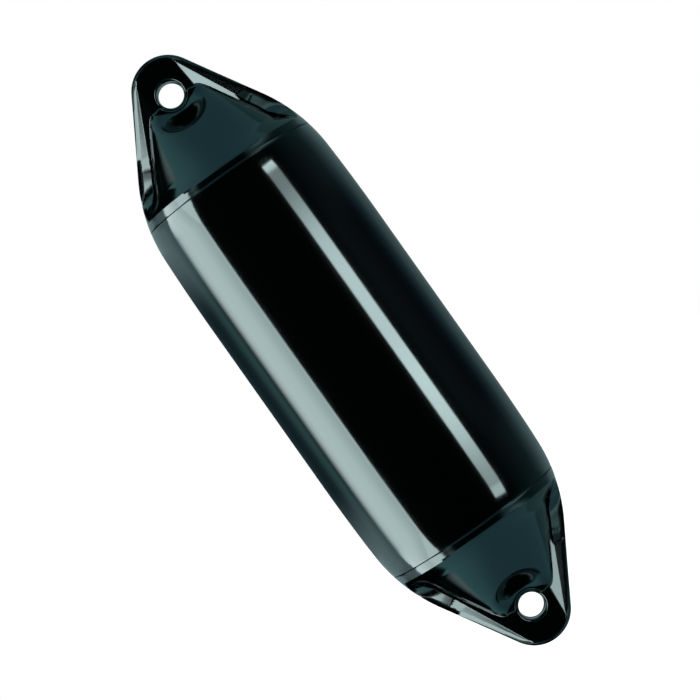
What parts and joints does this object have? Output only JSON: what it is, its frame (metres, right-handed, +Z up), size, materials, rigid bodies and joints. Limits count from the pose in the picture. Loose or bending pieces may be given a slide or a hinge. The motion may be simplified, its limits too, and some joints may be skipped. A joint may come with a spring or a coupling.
{
  "type": "pneumatic fender",
  "caption": "Long round inflatable vinyl boat fender with a flattened triangular end and rope eye at each end, and a screw valve on the back of its upper end.",
  "frame": {"origin": "middle of the fender, on the air tube's axis, halfway between its two tips", "axes": "+Z up along the tube's axis to the upper eye, Y along both eyes' bores, with the valve on the +Y side, X across the flat ends"},
  "size_m": [0.1904, 0.1904, 0.66],
  "materials": {
    "vinyl_body": "glossy black soft vinyl",
    "vinyl_end": "slightly satin black soft vinyl",
    "nylon": "moulded black nylon",
    "seal_rubber": "matt black rubber"
  },
  "bodies": {
    "fender": {"body_shell": "vinyl_body", "upper_eye_end": "vinyl_end", "lower_eye_end": "vinyl_end", "valve_housing": "nylon"},
    "seal": {"valve_o_ring": "seal_rubber"},
    "plug": {"valve_screw": "nylon"}
  },
  "joints": [
    {"name": "seal_lift", "type": "slide", "parent": "fender", "child": "seal", "axis": [0, 0.7507, 0.6606], "range_m": [0, 0.008]},
    {"name": "plug_turn", "type": "hinge", "parent": "seal", "child": "plug", "pos_m": [0, 0.07087, 0.22579], "axis": [0, 0.7507, 0.6606], "range_deg": [0, 1441]}
  ],
  "couplings": [
    {"joint": "plug_turn", "follows": "seal_lift", "rad_per_m": 3141.6}
  ]
}
